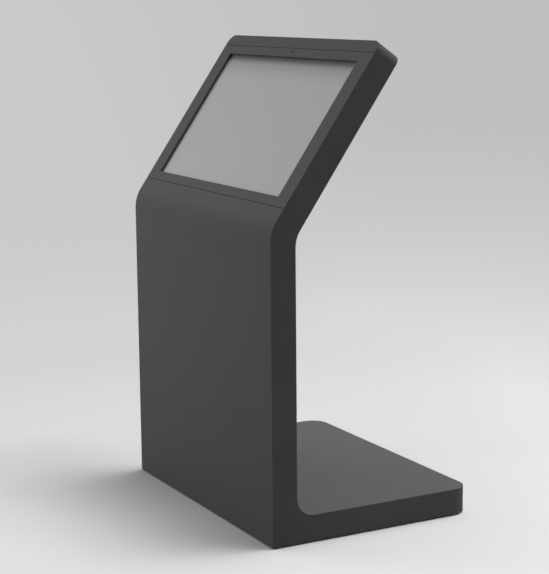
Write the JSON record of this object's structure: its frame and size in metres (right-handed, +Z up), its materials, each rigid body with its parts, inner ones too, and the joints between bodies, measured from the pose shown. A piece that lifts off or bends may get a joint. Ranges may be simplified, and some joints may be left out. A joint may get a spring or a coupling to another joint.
{
  "type": "self-service kiosk",
  "caption": "Floor-standing self-service kiosk: flat plinth, upright column and a leaning head with a large touch screen, rear service door and levelling feet.",
  "frame": {"origin": "on the floor, under the middle of the kiosk's overall box", "axes": "+X to the right seen from the front, +Y to the rear, +Z up"},
  "size_m": [0.815, 0.604, 1.2592],
  "materials": {
    "shell": "fine-textured dark grey powder coat",
    "inner_steel": "zinc-plated sheet",
    "fasteners": "zinc-plated",
    "chrome_parts": "polished plating",
    "glass": "etched anti-glare, bonded to the unlit display, so it shows an even grey",
    "display": "even grey, unlit",
    "black_plastic": "moulded, fine grain",
    "rubber": "matt",
    "board": "solder-mask green",
    "housing": "satin"
  },
  "bodies": {
    "kiosk": {"front_skin": "shell", "left_side_panel": "shell", "right_side_panel": "shell", "display_frame": "shell", "head_top_cap": "shell", "base_cover": "shell", "base_plate": "inner_steel", "column_rear_panel": "shell", "head_rear_cover": "shell", "left_upright": "inner_steel", "right_upright": "inner_steel", "door_pivot_pins": "fasteners", "door_seal": "rubber", "glass_gasket": "rubber", "touch_glass": "glass", "display_bezel": "inner_steel", "display_cell": "display", "display_chassis": "inner_steel", "upper_display_rail": "inner_steel", "lower_display_rail": "inner_steel", "driver_board": "board", "touch_controller": "board", "camera_window": "black_plastic", "camera_module": "black_plastic", "equipment_tray": "inner_steel", "computer": "housing", "power_supply": "housing", "left_speaker": "black_plastic", "right_speaker": "black_plastic", "left_fan_housing": "black_plastic", "right_fan_housing": "black_plastic", "mains_inlet": "black_plastic", "network_socket": "chrome_parts", "mains_cable": "rubber", "network_cable": "rubber", "display_cable": "rubber", "touch_cable": "rubber", "foot_nuts": "fasteners", "cover_screws": "fasteners", "frame_nuts": "fasteners", "upright_bolts": "fasteners", "tray_screws": "fasteners", "rail_screws": "fasteners"},
    "door": {"service_door": "shell", "lock_housing": "chrome_parts"},
    "lock": {"lock_barrel": "chrome_parts"},
    "left_fan": {"left_fan_rotor": "black_plastic"},
    "right_fan": {"right_fan_rotor": "black_plastic"},
    "rocker": {"rocker_switch": "black_plastic"},
    "button": {"power_button": "chrome_parts"},
    "front_left_leveller": {"front_left_foot": "rubber"},
    "front_right_leveller": {"front_right_foot": "rubber"},
    "rear_left_leveller": {"rear_left_foot": "rubber"},
    "rear_right_leveller": {"rear_right_foot": "rubber"}
  },
  "joints": [
    {"name": "door_hinge", "type": "hinge", "parent": "kiosk", "child": "door", "pos_m": [-0.2445, -0.238, 0.423], "axis": [0, 0, 1], "range_deg": [0, 110]},
    {"name": "lock_turn", "type": "hinge", "parent": "door", "child": "lock", "pos_m": [0.228, -0.232, 0.423], "axis": [0, 1, 0], "range_deg": [0, 90]},
    {"name": "left_fan_spin", "type": "hinge", "parent": "kiosk", "child": "left_fan", "pos_m": [-0.15, 0.00134, 1.12167], "axis": [0, 0.8192, -0.5736], "continuous": true},
    {"name": "right_fan_spin", "type": "hinge", "parent": "kiosk", "child": "right_fan", "pos_m": [0.15, 0.00134, 1.12167], "axis": [0, 0.8192, -0.5736], "continuous": true},
    {"name": "rocker_tilt", "type": "hinge", "parent": "kiosk", "child": "rocker", "pos_m": [0.052, 0.293, 0.044], "axis": [1, 0, 0], "range_deg": [-16, 0]},
    {"name": "button_press", "type": "slide", "parent": "kiosk", "child": "button", "axis": [0, 0, 1], "range_m": [0, 0.0012], "stiffness_N_per_m": 400, "springref_m": -0.001},
    {"name": "front_left_foot_travel", "type": "slide", "parent": "kiosk", "child": "front_left_leveller", "axis": [0, 0, -1], "range_m": [0, 0.012]},
    {"name": "front_right_foot_travel", "type": "slide", "parent": "kiosk", "child": "front_right_leveller", "axis": [0, 0, -1], "range_m": [0, 0.012]},
    {"name": "rear_left_foot_travel", "type": "slide", "parent": "kiosk", "child": "rear_left_leveller", "axis": [0, 0, -1], "range_m": [0, 0.012]},
    {"name": "rear_right_foot_travel", "type": "slide", "parent": "kiosk", "child": "rear_right_leveller", "axis": [0, 0, -1], "range_m": [0, 0.012]}
  ]
}
